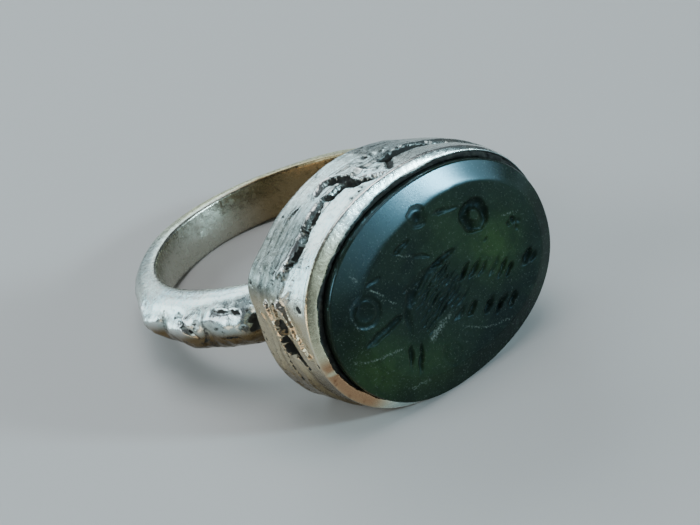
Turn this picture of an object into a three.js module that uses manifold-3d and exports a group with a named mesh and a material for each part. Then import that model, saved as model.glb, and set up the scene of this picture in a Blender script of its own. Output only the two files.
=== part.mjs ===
// An ancient silver finger ring with an engraved green seal stone, lying loose on its side.
// The ring is modelled in a frame of its own: X from the finger hole to the stone, Y along the
// stone's long axis and Z along the finger. A turned group then lays it down on z = 0.
// Units are millimetres.
import * as THREE from "three";
import * as BufferGeometryUtils from "three/addons/utils/BufferGeometryUtils.js";
import Module from "manifold-3d";

const wasm = await Module();
wasm.setup();

// Finger hole and hoop
const HOLE_RADIUS = 9.0; // the round part of the finger hole
const HOLE_REACH = 9.6; // from the hole's centre to the plate under the stone
const HOLE_SQUARENESS = 2.3; // exponent of the hole's outline on the stone's side
const HOOP_WIDTH_BACK = 3.1;
const HOOP_WIDTH_SHOULDER = 4.9;
const HOOP_THICKNESS_BACK = 1.7;
const HOOP_THICKNESS_SHOULDER = 2.8;
const HOOP_EDGE = 0.9; // thickness of the flat edge that a finger would feel
const INNER_BARREL = 0.12; // the inner face is this much narrower at its middle
const LUMP_HEIGHT = 0.42; // worn mouldings on the shoulders
const LUMP_PITCH = 4.6;
const LUMP_REACH = 9.0; // how far along the hoop the mouldings run, from the bezel down
const SHOULDER_START = 30; // degrees from the hoop's back where it starts to swell
const SHOULDER_END = 138; // degrees from the hoop's back where it meets the bezel

// Bezel, an oval box with nearly straight walls
const BEZEL_BACK = 11.6; // where the wall ends and the underside starts
const BEZEL_UNDERSIDE = 9.85;
const BEZEL_FRONT = 17.5; // face of the rim
const RIM_LONG = 9.95; // half lengths of the rim's outline
const RIM_SHORT = 7.75;
const BACK_LONG = 10.35; // half lengths of the back edge
const BACK_SHORT = 7.25;
const BACK_LIFT = 0.95; // the back edge sits this much off centre, along the finger
const OVAL_SQUARENESS = 2.15;
const RIM_WIDTH = 0.62; // bare silver between the outside and the stone's gap
const COLLAR_WIDTH = 2.6; // the smooth strip beside the rim
const COLLAR_WAVE = 0.3; // the strip's torn edge wanders by this much to either side
const COLLAR_STEP = 0.22; // the back half stands this much proud of the collar
const CRACK_DEPTH = 0.55;
const CRACK_WIDTH = 0.45;
const CRACK_START = 56; // degrees around the oval, from the long axis
const CRACK_END = 192;

// Stone
const STONE_GAP = 0.3;
const SEAT_DEPTH = 2.6; // from the rim's face to the floor of the seat
const SEAT_TAPER = 0.8; // the seat and the stone in it are this much narrower at the floor
const TABLE_HEIGHT = 0.75; // the flat table stands this much above the rim
const BEVEL_WIDTH = 1.75;
const ENGRAVING_DEPTH = 0.4;

// Rest
const REST_FLAT_DEPTH = 0.16; // wear on the two places that the ring lies on

// Facets
const HOOP_STEPS = 72;
const SECTION_STEPS = 11;
const OVAL_STEPS = 80;
const STONE_STEPS = 64;

const DEGREE = Math.PI / 180;
const TABLE = BEZEL_FRONT + TABLE_HEIGHT;
const STONE_LONG = RIM_LONG - RIM_WIDTH - STONE_GAP;
const STONE_SHORT = RIM_SHORT - RIM_WIDTH - STONE_GAP;
const TABLE_LONG = STONE_LONG - BEVEL_WIDTH;
const TABLE_SHORT = STONE_SHORT - BEVEL_WIDTH;

// 0 at start, 1 at end, and smooth between. Start may be above or below end.
function ramp(value, start, end) {
  return THREE.MathUtils.smoothstep((value - start) / (end - start), 0, 1);
}

// A bell of height 1 around centre.
function bell(value, centre, width) {
  return Math.exp(-(((value - centre) / width) ** 2));
}

function signedPower(value, power) {
  return Math.sign(value) * Math.abs(value) ** power;
}

// A point of an oval outline, as [y, z].
function ovalPoint(angle, long, short, lift) {
  const y = long * signedPower(Math.cos(angle), 2 / OVAL_SQUARENESS);
  const z = lift + short * signedPower(Math.sin(angle), 2 / OVAL_SQUARENESS);
  return [y, z];
}

// A closed surface through rows of points. The first and last rows are closed by a cap,
// or joined to each other when the rows make a loop.
function surfaceFromRows(rows, isLoop) {
  const positions = rows.flat().flatMap((point) => [point.x, point.y, point.z]);
  const count = rows[0].length;
  const indices = [];
  const bands = isLoop ? rows.length : rows.length - 1;
  for (let band = 0; band < bands; band++) {
    const here = band * count;
    const next = ((band + 1) % rows.length) * count;
    for (let step = 0; step < count; step++) {
      const other = (step + 1) % count;
      indices.push(here + step, here + other, next + other);
      indices.push(here + step, next + other, next + step);
    }
  }
  if (!isLoop) {
    for (const end of [0, rows.length - 1]) {
      const centre = new THREE.Vector3();
      rows[end].forEach((point) => centre.addScaledVector(point, 1 / count));
      const hub = positions.length / 3;
      positions.push(centre.x, centre.y, centre.z);
      for (let step = 0; step < count; step++) {
        const here = end * count + step;
        const other = end * count + ((step + 1) % count);
        indices.push(...(end === 0 ? [hub, other, here] : [hub, here, other]));
      }
    }
  }
  const geometry = new THREE.BufferGeometry();
  geometry.setAttribute("position", new THREE.Float32BufferAttribute(positions, 3));
  geometry.setIndex(indices);
  return geometry;
}

function solidFromGeometry(geometry) {
  const bare = geometry.clone();
  bare.deleteAttribute("normal");
  bare.deleteAttribute("uv");
  const merged = BufferGeometryUtils.mergeVertices(bare, 1e-5);
  const mesh = new wasm.Mesh({
    numProp: 3,
    vertProperties: Float32Array.from(merged.attributes.position.array),
    triVerts: Uint32Array.from(merged.index.array),
  });
  return new wasm.Manifold(mesh);
}

function geometryFromSolid(solid) {
  const mesh = solid.getMesh();
  const geometry = new THREE.BufferGeometry();
  geometry.setAttribute("position", new THREE.BufferAttribute(mesh.vertProperties, 3));
  geometry.setIndex(new THREE.BufferAttribute(mesh.triVerts, 1));
  geometry.computeVertexNormals();
  return geometry;
}

// The hole's radius in the direction that is angle degrees round from the hoop's back.
function holeRadius(angle) {
  const x = -Math.cos(angle * DEGREE);
  const y = Math.sin(angle * DEGREE);
  if (x <= 0) return HOLE_RADIUS;
  const power = HOLE_SQUARENESS;
  const sum = (x / HOLE_REACH) ** power + (Math.abs(y) / HOLE_RADIUS) ** power;
  return sum ** (-1 / power);
}

// Height of the worn mouldings, for a place on the hoop and its side across the band.
function lump(angle, side) {
  const along = (SHOULDER_END - angle) * DEGREE * HOLE_RADIUS;
  const wave = 0.5 + 0.5 * Math.cos((2 * Math.PI * along) / LUMP_PITCH);
  const fade = ramp(along, LUMP_REACH + LUMP_PITCH, LUMP_REACH) * ramp(side, 0.75, -0.1);
  return LUMP_HEIGHT * wave * fade;
}

// One section of the hoop: a flat inner face with a slight barrel and a round outer face.
function hoopSection(step) {
  const turn = (step * 360) / HOOP_STEPS;
  const angle = turn <= 180 ? turn : 360 - turn;
  const swell = ramp(angle, SHOULDER_START, SHOULDER_END);
  const halfWidth = THREE.MathUtils.lerp(HOOP_WIDTH_BACK, HOOP_WIDTH_SHOULDER, swell) / 2;
  const thickness = THREE.MathUtils.lerp(HOOP_THICKNESS_BACK, HOOP_THICKNESS_SHOULDER, swell);
  const inner = holeRadius(angle);
  const direction = new THREE.Vector3(-Math.cos(turn * DEGREE), Math.sin(turn * DEGREE), 0);
  const place = (radius, z) => direction.clone().multiplyScalar(radius).setZ(z);
  const points = [];
  for (let k = 0; k <= SECTION_STEPS; k++) {
    const lean = Math.PI * (k / SECTION_STEPS - 0.5);
    const side = Math.sin(lean);
    const bulge = (thickness - HOOP_EDGE) * Math.cos(lean) ** 0.9;
    points.push(place(inner + HOOP_EDGE + bulge + lump(angle, side), side * halfWidth));
  }
  for (const side of [1, 0.35, -0.35, -1]) {
    points.push(place(inner - INNER_BARREL * (1 - side * side), side * halfWidth));
  }
  return points;
}

function buildHoop() {
  const rows = [];
  for (let step = 0; step < HOOP_STEPS; step++) rows.push(hoopSection(step));
  return solidFromGeometry(surfaceFromRows(rows, true));
}

// How far the wall stands off its plain form: the step behind the collar, and the torn crack.
function wallRelief(x, angle) {
  const degrees = angle / DEGREE;
  const edge = BEZEL_FRONT - COLLAR_WIDTH + COLLAR_WAVE * Math.cos((degrees - 130) * 3 * DEGREE);
  const window = ramp(degrees, CRACK_START, CRACK_START + 12) * ramp(degrees, CRACK_END, CRACK_END - 12);
  const step = COLLAR_STEP * ramp(x, edge + CRACK_WIDTH, edge - CRACK_WIDTH) * ramp(x, BEZEL_UNDERSIDE, BEZEL_BACK);
  return step - CRACK_DEPTH * window * bell(x, edge, CRACK_WIDTH);
}

// One outline of the bezel's outside at height x. Share runs from 0 at the back edge to 1 at the rim.
function wallRow(x) {
  const share = THREE.MathUtils.clamp((x - BEZEL_BACK) / (BEZEL_FRONT - BEZEL_BACK), 0, 1);
  const under = ramp(x, BEZEL_UNDERSIDE - 0.9, BEZEL_BACK);
  const long = THREE.MathUtils.lerp(BACK_LONG, RIM_LONG, share) * (0.62 + 0.38 * under);
  const short = THREE.MathUtils.lerp(BACK_SHORT, RIM_SHORT, share) * (0.5 + 0.5 * under);
  const lift = BACK_LIFT * (1 - share);
  const row = [];
  for (let step = 0; step < OVAL_STEPS; step++) {
    const angle = (2 * Math.PI * step) / OVAL_STEPS;
    const relief = wallRelief(x, angle);
    const [y, z] = ovalPoint(angle, long + relief, short + relief, lift);
    row.push(new THREE.Vector3(x, y, z));
  }
  return row;
}

function ovalRow(x, long, short, steps) {
  const row = [];
  for (let step = 0; step < steps; step++) {
    const [y, z] = ovalPoint((2 * Math.PI * step) / steps, long, short, 0);
    row.push(new THREE.Vector3(x, y, z));
  }
  return row;
}

function buildBezel() {
  const edge = BEZEL_FRONT - COLLAR_WIDTH;
  const chamfer = 0.12;
  const heights = [
    BEZEL_UNDERSIDE,
    BEZEL_UNDERSIDE + 0.5,
    BEZEL_UNDERSIDE + 1.1,
    BEZEL_BACK,
    ...[-1.6, -1.1, -0.7, -0.35, 0, 0.35, 0.7, 1.1].map((offset) => edge + offset),
    BEZEL_FRONT - chamfer,
  ];
  const rows = heights.map(wallRow);
  rows.push(ovalRow(BEZEL_FRONT, RIM_LONG - chamfer, RIM_SHORT - chamfer, OVAL_STEPS));
  const seatLong = RIM_LONG - RIM_WIDTH;
  const seatShort = RIM_SHORT - RIM_WIDTH;
  rows.push(ovalRow(BEZEL_FRONT, seatLong, seatShort, OVAL_STEPS));
  rows.push(ovalRow(BEZEL_FRONT - SEAT_DEPTH, seatLong - SEAT_TAPER, seatShort - SEAT_TAPER, OVAL_STEPS));
  return solidFromGeometry(surfaceFromRows(rows, false));
}

// The turn that lets the rim's lower side and the hoop's back touch one level surface.
const rimFoot = new THREE.Vector3(BEZEL_FRONT, 0, -RIM_SHORT);
const hoopFoot = new THREE.Vector3(-(HOLE_RADIUS + HOOP_EDGE), 0, -HOOP_WIDTH_BACK / 2);
const REST_TILT = Math.atan2(hoopFoot.z - rimFoot.z, rimFoot.x - hoopFoot.x);

// Everything above the surface that the ring lies on, in the ring's own frame.
function buildRestCutter() {
  const size = 8 * BEZEL_FRONT;
  const block = new THREE.BoxGeometry(size, size, size);
  block.translate(0, 0, size / 2 + REST_FLAT_DEPTH);
  block.rotateY(REST_TILT);
  block.translate(rimFoot.x, rimFoot.y, rimFoot.z);
  return solidFromGeometry(block);
}

// A smooth hollow of the engraver's wheel: centre, half length, half width and turn in degrees.
function wheelCut(y, z, halfLength, halfWidth, turn = 0, depth = ENGRAVING_DEPTH) {
  const cut = new THREE.SphereGeometry(1, 10, 8);
  cut.scale(depth, halfLength, halfWidth);
  cut.rotateX(turn * DEGREE);
  cut.translate(TABLE, y, z);
  return solidFromGeometry(cut);
}

// A cut from one point to another, each given as [y, z].
function stroke(start, end, halfWidth, depth = ENGRAVING_DEPTH) {
  const dy = end[0] - start[0];
  const dz = end[1] - start[1];
  const middle = [(start[0] + end[0]) / 2, (start[1] + end[1]) / 2];
  const turn = Math.atan2(dz, dy) / DEGREE;
  return wheelCut(middle[0], middle[1], Math.hypot(dy, dz) / 2, halfWidth, turn, depth);
}

// A ring-shaped cut.
function ringCut(y, z, radius, halfWidth) {
  const cut = new THREE.TorusGeometry(radius, halfWidth, 6, 16);
  cut.rotateY(Math.PI / 2);
  cut.translate(TABLE, y, z);
  return solidFromGeometry(cut);
}

// A row of parallel strokes. Step and lean are [y, z] too.
function strokeRow(first, step, lean, count, halfWidth) {
  const cuts = [];
  for (let k = 0; k < count; k++) {
    const start = [first[0] + k * step[0], first[1] + k * step[1]];
    cuts.push(stroke(start, [start[0] + lean[0], start[1] + lean[1]], halfWidth));
  }
  return cuts;
}

function engraving() {
  return [
    ringCut(4.1, 2.5, 0.85, 0.3),
    wheelCut(0.3, 4.1, 0.65, 0.55),
    wheelCut(6.5, 0.75, 0.7, 0.55),
    stroke([0.9, 4.2], [3.3, 3.3], 0.24),
    stroke([-2.6, 2.9], [-1.2, 3.8], 0.28),
    stroke([-1.9, 2.3], [2.2, 1.1], 0.45),
    stroke([-4.4, -1.7], [0.6, 1.2], 0.6),
    stroke([-6.9, -1.2], [-3.0, -0.9], 0.36),
    ringCut(-5.6, 0.9, 0.95, 0.24),
    stroke([-4.2, -2.9], [-3.9, -4.3], 0.32),
    stroke([-3.4, -3.2], [-3.2, -4.6], 0.28),
    wheelCut(-1.2, -4.2, 0.55, 0.5),
    stroke([-1.6, -3.1], [-0.4, -2.3], 0.32),
    ...strokeRow([1.9, -1.2], [1.05, -0.72], [0.85, 1.0], 5, 0.25),
    ...strokeRow([-0.1, -3.0], [1.05, -0.6], [0.85, 1.05], 4, 0.27),
  ];
}

function buildStone() {
  const bottom = BEZEL_FRONT - SEAT_DEPTH + STONE_GAP;
  const softEdge = 0.2; // the polish has rounded the edge between bevel and table
  const rows = [
    ovalRow(bottom, STONE_LONG - SEAT_TAPER, STONE_SHORT - SEAT_TAPER, STONE_STEPS),
    ovalRow(BEZEL_FRONT, STONE_LONG, STONE_SHORT, STONE_STEPS),
    ovalRow(TABLE - softEdge / 3, TABLE_LONG + softEdge, TABLE_SHORT + softEdge, STONE_STEPS),
    ovalRow(TABLE, TABLE_LONG, TABLE_SHORT, STONE_STEPS),
  ];
  let stone = solidFromGeometry(surfaceFromRows(rows, false));
  for (const cut of engraving()) stone = stone.subtract(cut);
  return stone;
}

const silver = new THREE.MeshStandardMaterial({ color: 0xb9bdb2, roughness: 0.38, metalness: 1 });
const chalcedony = new THREE.MeshStandardMaterial({ color: 0x2c4438, roughness: 0.16, metalness: 0 });

const body = buildHoop().add(buildBezel()).intersect(buildRestCutter());
const silverBody = new THREE.Mesh(geometryFromSolid(body), silver);
silverBody.name = "silver_body";
const sealStone = new THREE.Mesh(geometryFromSolid(buildStone()), chalcedony);
sealStone.name = "seal_stone";

// Lays the ring on z = 0 and puts the origin under the middle of its box.
const lying = new THREE.Group();
lying.add(silverBody, sealStone);
lying.rotation.y = -REST_TILT;
lying.updateMatrixWorld(true);
const box = new THREE.Box3().setFromObject(lying, true);
lying.position.set(-(box.min.x + box.max.x) / 2, -(box.min.y + box.max.y) / 2, -box.min.z);

const ring = new THREE.Group();
ring.add(lying);

export default ring;
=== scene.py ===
import math

import bmesh
import bpy
import numpy as np
from mathutils import Matrix, Vector


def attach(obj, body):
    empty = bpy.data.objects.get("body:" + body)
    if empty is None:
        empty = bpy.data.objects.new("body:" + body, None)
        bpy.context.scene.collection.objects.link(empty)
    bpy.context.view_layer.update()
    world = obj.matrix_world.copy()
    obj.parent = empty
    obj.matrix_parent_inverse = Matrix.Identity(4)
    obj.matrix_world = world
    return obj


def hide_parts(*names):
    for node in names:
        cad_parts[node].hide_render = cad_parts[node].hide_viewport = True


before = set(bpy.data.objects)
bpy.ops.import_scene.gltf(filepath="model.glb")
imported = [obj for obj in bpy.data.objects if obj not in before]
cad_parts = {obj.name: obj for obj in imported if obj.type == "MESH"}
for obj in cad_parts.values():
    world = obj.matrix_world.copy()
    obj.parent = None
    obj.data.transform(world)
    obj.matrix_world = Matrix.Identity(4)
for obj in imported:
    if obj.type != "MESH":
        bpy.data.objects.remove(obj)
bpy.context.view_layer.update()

MM = 0.001

# Sizes of the solids: lengths in millimetres, angles in degrees, squareness as a power
HOLE_RADIUS = 9.0
HOLE_REACH = 9.6
HOLE_SQUARENESS = 2.3
HOOP_WIDTH_BACK = 3.1
HOOP_WIDTH_SHOULDER = 4.9
HOOP_THICKNESS_BACK = 1.7
HOOP_THICKNESS_SHOULDER = 2.8
HOOP_EDGE = 0.9
INNER_BARREL = 0.12
LUMP_HEIGHT = 0.42
SHOULDER_START = 30
SHOULDER_END = 138
BEZEL_BACK = 11.6
BEZEL_UNDERSIDE = 9.85
BEZEL_FRONT = 17.5
RIM_LONG = 9.95
RIM_SHORT = 7.75
BACK_LONG = 10.35
BACK_SHORT = 7.25
BACK_LIFT = 0.95
OVAL_SQUARENESS = 2.15
RIM_WIDTH = 0.62
COLLAR_WIDTH = 2.6
COLLAR_WAVE, COLLAR_WAVES, COLLAR_WAVE_AT = 0.3, 3, 130
COLLAR_STEP = 0.22
STONE_GAP = 0.3
SEAT_DEPTH = 2.6
SEAT_TAPER = 0.8
BEVEL_WIDTH = 1.65
BEVEL_VARIES, BEVEL_BROADEST_AT = 0.5, 165

SEAT_LONG = RIM_LONG - RIM_WIDTH
SEAT_SHORT = RIM_SHORT - RIM_WIDTH
STONE_LONG = SEAT_LONG - STONE_GAP
STONE_SHORT = SEAT_SHORT - STONE_GAP

# What the solids leave plain: lengths in millimetres, angles in degrees. Where a bulge or a
# dent has a place and a reach, both are angles round the oval.
GIRDLE = 0.55
STONE_STANDS = 1.09
STONE_SPREAD = 0.24
STONE_SHIFT = (0.48, -0.42)
STONE_LEAN = 0.2
STONE_BULGE, STONE_BULGE_AT, STONE_BULGE_REACH = 0.3, 246, 28
OVAL_LEAN = 0.19
RIM_BULGE, RIM_BULGE_AT, RIM_BULGE_REACH = 0.2, 235, 30
RIM_THIN = 0.12
RIM_BROADER = 0.62
RIM_TONGUE, RIM_TONGUE_AT, RIM_TONGUE_REACH = 0.32, 126, 26
RIM_START = 0.03
RIM_FALL = 0.3
WALL_TOP = BEZEL_FRONT - RIM_FALL
DIRT_DEPTH = 0.2
DIRT_ROUGHNESS = 0.1
SEAT_CLEARANCE = 0.015
UNDERSIDE_LONG = 0.62
UNDERSIDE_SHORT = 0.5
NEAR_TRIM = 0.7
FAR_THINNED = 0.32
LOW_TRIM = 0.4
RIDGE_START = 126.8
RIDGE_PITCH = 21.3
RIDGE_SWAY = 0.07

# Fineness of the meshes. The wall's columns gather by some degrees round a share of the oval.
WALL_ROWS = 74
WALL_COLUMNS = 680
GATHER_BY = 11
GATHER_AT = 0.385
UNDERSIDE_ROWS = 11
HOOP_TURNS = 460
HOOP_LEANS = 42
HOOP_INNER_ROWS = 16
STONE_STEPS = 600
STONE_ROWS = 128


def ramp(value, start, end):
    """0 at start, 1 at end, and smooth between."""
    x = np.clip((value - start) / (end - start), 0, 1)
    return x * x * (3 - 2 * x)


def mix(low, high, share):
    return low + (high - low) * share


def bell(distance, width):
    return np.exp(-((distance / width) ** 2))


def turned(degrees, centre):
    """The angle from centre to degrees, from -180 to 180."""
    return (degrees - centre + 180) % 360 - 180


def signed_power(value, power):
    return np.sign(value) * np.abs(value) ** power


def lattice(cell, seed):
    """A repeatable number from -1 to 1 for each whole-numbered cell."""
    mixed = cell[..., 0] * 73856093 ^ cell[..., 1] * 19349663 ^ cell[..., 2] * 83492791
    mixed = (mixed ^ (seed + 11) * 40503) & 0xFFFFFFFF
    mixed = mixed * 1274126177 & 0xFFFFFFFF
    mixed = (mixed ^ (mixed >> 15)) * 2246822519 & 0xFFFFFFFF
    return ((mixed ^ (mixed >> 13)) & 0xFFFFFF) / 0x7FFFFF - 1.0


def grain(points, size, seed=0, octaves=1):
    """Smooth noise from about -1 to 1 whose lumps are size across. Each octave is half as large."""
    total = np.zeros(points.shape[:-1])
    reach = 0.0
    for octave in range(octaves):
        scaled = points / (size / 2**octave)
        base = np.floor(scaled).astype(np.int64)
        part = scaled - base
        part = part * part * (3 - 2 * part)
        value = np.zeros(points.shape[:-1])
        for corner in range(8):
            step = np.array([corner & 1, corner >> 1 & 1, corner >> 2 & 1])
            weight = np.prod(np.where(step == 1, part, 1 - part), axis=-1)
            value += weight * lattice(base + step, seed + 7 * octave)
        total += value / 1.7**octave
        reach += 1 / 1.7**octave
    return total / reach * 1.5


# The bezel was bent and dented: how far its back stands out at angles round the oval
BACK_DENTS = [
    (0, 0), (20, -0.3), (40, -0.8), (60, -0.82), (75, -0.48), (90, -0.2), (105, -0.4), (125, -0.5),
    (138, -0.62), (150, -0.12), (160, -0.15), (178, -0.72), (192, -0.45), (203, 0), (215, 0.65),
    (228, 1.15), (242, 1.1), (262, 0.5), (290, 0.1), (330, 0), (360, 0),
]
DENT_SOFTNESS = (-6, -3, 0, 3, 6)


def swelling(degrees, share):
    """How far the bezel's outline stands out, from its back (0) to its rim (1)."""
    angles, heights = zip(*BACK_DENTS)
    shifted = [np.interp((degrees + shift) % 360, angles, heights) for shift in DENT_SOFTNESS]
    at_rim = OVAL_LEAN * np.sin(np.radians(2 * degrees))
    at_rim = at_rim + RIM_BULGE * bell(turned(degrees, RIM_BULGE_AT), RIM_BULGE_REACH)
    return mix(sum(shifted) / len(shifted), at_rim, share)


def oval_point(n, degrees, long, short, lift=0.0):
    """A point of a squarish oval with these half lengths, at a height n."""
    angle = np.radians(degrees)
    t = long * signed_power(np.cos(angle), 2 / OVAL_SQUARENESS)
    a = lift + short * signed_power(np.sin(angle), 2 / OVAL_SQUARENESS)
    return np.stack(np.broadcast_arrays(n + 0.0, t, a), axis=-1)


def collar_edge(degrees):
    """Where the smooth strip beside the rim ends, as a height along N."""
    wave = np.cos(np.radians((degrees - COLLAR_WAVE_AT) * COLLAR_WAVES))
    return BEZEL_FRONT - COLLAR_WIDTH + COLLAR_WAVE * wave


def height_share(n):
    """How far up the bezel a height lies, from its back (0) to its front (1)."""
    return np.clip((n - BEZEL_BACK) / (BEZEL_FRONT - BEZEL_BACK), 0, 1)


def wall_point(n, degrees):
    """A point of the bezel's outer wall, with the step behind the collar."""
    share = height_share(n)
    under = ramp(n, BEZEL_UNDERSIDE - 0.9, BEZEL_BACK)
    edge = collar_edge(degrees)
    step = COLLAR_STEP * ramp(n, edge + 0.2, edge - 0.3) * ramp(n, BEZEL_UNDERSIDE, BEZEL_BACK)
    step = (step + swelling(degrees, share)) * under
    long = mix(BACK_LONG, RIM_LONG, share) * mix(UNDERSIDE_LONG, 1.0, under) + step
    short = mix(BACK_SHORT, RIM_SHORT, share) * mix(UNDERSIDE_SHORT, 1.0, under) + step
    return oval_point(n, degrees, long, short, BACK_LIFT * (1 - share))


def rim_point(degrees, inset, drop):
    """A point of the rim, inset from its outer edge."""
    swell = swelling(degrees, 1.0)
    return oval_point(BEZEL_FRONT - drop, degrees, RIM_LONG - inset + swell, RIM_SHORT - inset + swell)


def stone_point(n, degrees, share=1.0, narrow=0.0):
    """A point of the stone's outline, or inside it by a share of its half lengths."""
    lean = STONE_SPREAD + STONE_LEAN * np.sin(np.radians(2 * degrees)) - narrow
    lean = lean + STONE_BULGE * bell(turned(degrees, STONE_BULGE_AT), STONE_BULGE_REACH)
    point = oval_point(n, degrees, STONE_LONG + lean, STONE_SHORT + lean)
    point[..., 1:] = point[..., 1:] * np.asarray(share)[..., None] + STONE_SHIFT
    return point


OVAL_RADIUS = 8.8


def rim_width(degrees, rippled=1.0):
    """The rim is broad beside the hoop's near shoulder and thin at the far end. Its edge ripples."""
    width = RIM_THIN + RIM_BROADER * ramp(np.abs(turned(degrees, 150)), 122, 62)
    width = width + RIM_TONGUE * bell(turned(degrees, RIM_TONGUE_AT), RIM_TONGUE_REACH)
    width = width + 0.1 * bell(turned(degrees, 225), 22)
    around = np.stack([np.radians(degrees) * OVAL_RADIUS, degrees * 0, degrees * 0], axis=-1)
    ripple = 0.17 * grain(around, 1.5, 60, 3) + 0.06 * grain(around, 0.45, 64, 2)
    return width + rippled * ripple * ramp(width, 0.2, 0.7)


# Arc lengths round the wall, so that places on it can be compared in millimetres
ARC_DEGREES = np.linspace(0, 360, 721)
ARC_HEIGHT = 14.5
ARC_STEPS = np.linalg.norm(np.diff(wall_point(ARC_HEIGHT, ARC_DEGREES), axis=0), axis=-1)
ARC_LENGTHS = np.concatenate([[0], np.cumsum(ARC_STEPS)])


def wall_place(n, degrees):
    """A place on the wall in millimetres, up it and round it."""
    return np.stack([n, np.interp(degrees, ARC_DEGREES, ARC_LENGTHS)], axis=-1)


def hole_radius(turn):
    """The finger hole's radius at turn degrees from the hoop's back."""
    x = -np.cos(np.radians(turn))
    y = np.abs(np.sin(np.radians(turn)))
    power = HOLE_SQUARENESS
    total = (np.clip(x, 0, None) / HOLE_REACH) ** power + (y / HOLE_RADIUS) ** power
    return np.where(x > 0, total ** (-1 / power), HOLE_RADIUS)


def ridges(turn, side):
    """Height of the worn mouldings across the hoop's shoulders, with valleys between."""
    along = (np.abs(turn) - RIDGE_START) / RIDGE_PITCH
    along = along + RIDGE_SWAY * np.sin(side * 3 + turn * 0.11)
    wave = np.abs(np.cos(np.pi * along)) ** 0.85
    fade = ramp(along, -2.7, -1.9) * ramp(side, 0.72, 0.1)
    return LUMP_HEIGHT * (wave * 0.85 + 0.1) * fade


def hoop_sizes(turn):
    """Half width and thickness of the hoop."""
    swell = ramp(np.abs(turn), SHOULDER_START, SHOULDER_END)
    half_width = mix(HOOP_WIDTH_BACK, HOOP_WIDTH_SHOULDER, swell) / 2
    return half_width, mix(HOOP_THICKNESS_BACK, HOOP_THICKNESS_SHOULDER, swell)


def trimmed(turn, side):
    """How much lower the hoop's upper edge is on its near side, less how much higher its lower edge is."""
    near = ramp(-turn, 15, 100)
    return near * (NEAR_TRIM * ramp(side, -0.3, 1.0) - LOW_TRIM * ramp(-side, -0.1, 1.0))


def hoop_side(turn, a):
    """Place across the hoop, from -1 to 1, of a point at a. It is found by repeated steps."""
    half_width, _ = hoop_sizes(turn)
    side = a / half_width
    for _ in range(5):
        side = (a + trimmed(turn, side)) / half_width
    return np.clip(side, -1, 1)


def hoop_point(turn, lean):
    """A point of the hoop's outer face. Turn is degrees from its back, and lean goes across it."""
    half_width, thickness = hoop_sizes(turn)
    side = np.sin(np.radians(lean))
    bulge = (thickness - HOOP_EDGE) * np.clip(np.cos(np.radians(lean)), 0, None) ** 0.9
    thinned = FAR_THINNED * ramp(turn, -25, 40) * ramp(side, 0.2, 1.0)
    radius = hole_radius(turn) + HOOP_EDGE - thinned + bulge + ridges(turn, side)
    angle = np.radians(turn)
    a = side * half_width - trimmed(turn, side)
    return np.stack(np.broadcast_arrays(-radius * np.cos(angle), radius * np.sin(angle), a), -1)


# Millimetres along the hoop's outer face for a radian of turn, and across it for a degree of lean
HOOP_ALONG = 11.2
HOOP_ACROSS = 0.045


def hoop_place(turn, lean):
    """A place on the hoop's outer face in millimetres, along it and across it."""
    return np.stack(np.broadcast_arrays(np.radians(turn) * HOOP_ALONG, lean * HOOP_ACROSS), axis=-1)


def near_line(places, line):
    """Distance to a line as a share of its own half width, and in millimetres, and the side it is on."""
    best = np.full(places.shape[:-1], 1e9)
    width = np.ones(places.shape[:-1])
    side = np.zeros(places.shape[:-1])
    for start, end in zip(line[:-1], line[1:]):
        along = end[:2] - start[:2]
        share = np.clip((places - start[:2]) @ along / (along @ along + 1e-9), 0, 1)
        offset = places - (start[:2] + share[..., None] * along)
        far = np.hypot(offset[..., 0], offset[..., 1])
        nearer = far < best
        best = np.where(nearer, far, best)
        width = np.where(nearer, mix(start[2], end[2], share), width)
        side = np.where(nearer, offset[..., 0], side)
    return best / width, best, side


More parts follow.
